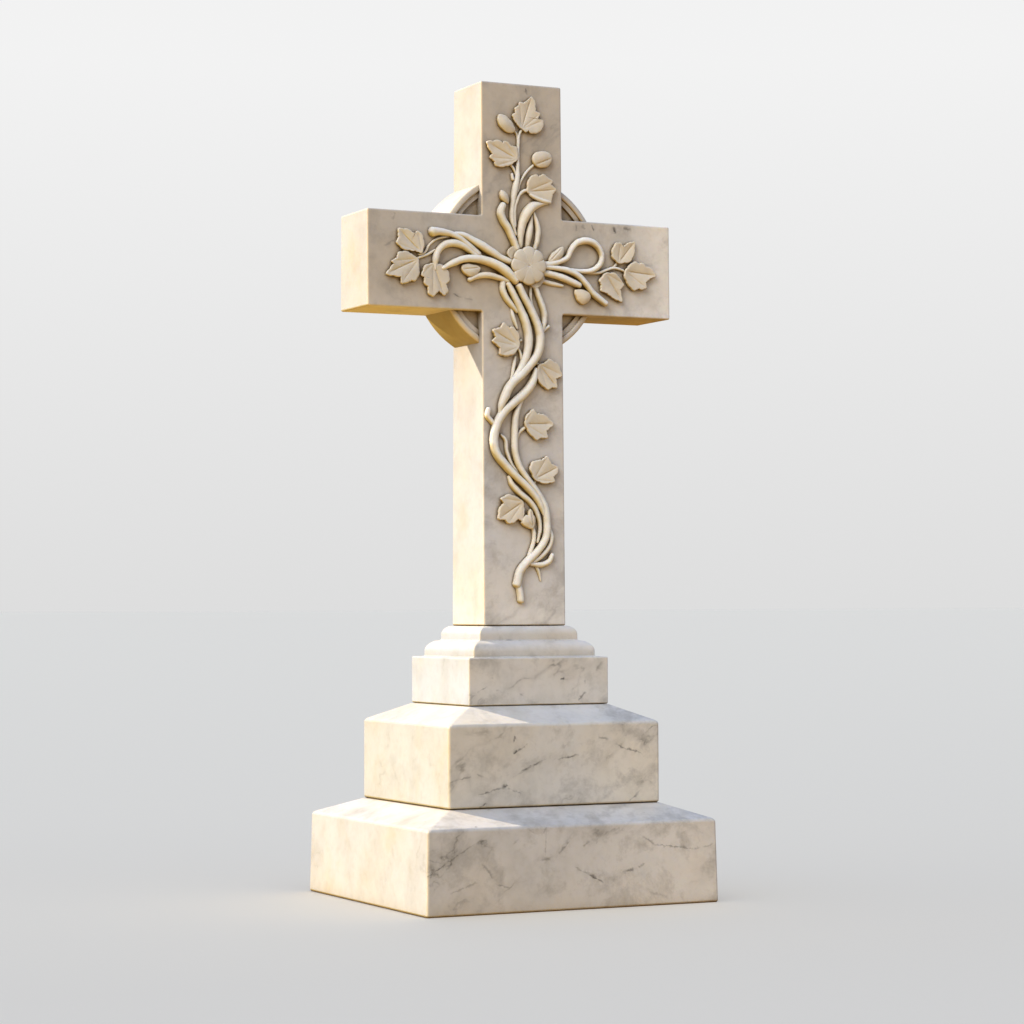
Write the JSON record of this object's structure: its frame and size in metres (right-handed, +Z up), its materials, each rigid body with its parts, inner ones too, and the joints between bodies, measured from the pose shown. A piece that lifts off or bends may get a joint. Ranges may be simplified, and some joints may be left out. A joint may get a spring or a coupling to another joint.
{
  "type": "cross tombstone",
  "caption": "Marble ring cross with a carved vine on its front, standing on a moulded die block and two sloped plinths.",
  "frame": {"origin": "middle of the lower plinth's underside, on the ground", "axes": "+Z up; the carved front faces -Y; the arms run along X"},
  "size_m": [0.74, 0.6388, 1.7875],
  "materials": {
    "cross": "honed cream marble, finely mottled, with a few grey veins",
    "moulded_die_block": "honed cream marble, lightly veined",
    "middle_plinth": "honed marble with grey-brown veins",
    "lower_plinth": "honed marble with grey-brown veins and blotches"
  },
  "bodies": {
    "root": {"cross": "cross", "moulded_die_block": "moulded_die_block", "middle_plinth": "middle_plinth", "lower_plinth": "lower_plinth"}
  },
  "joints": []
}
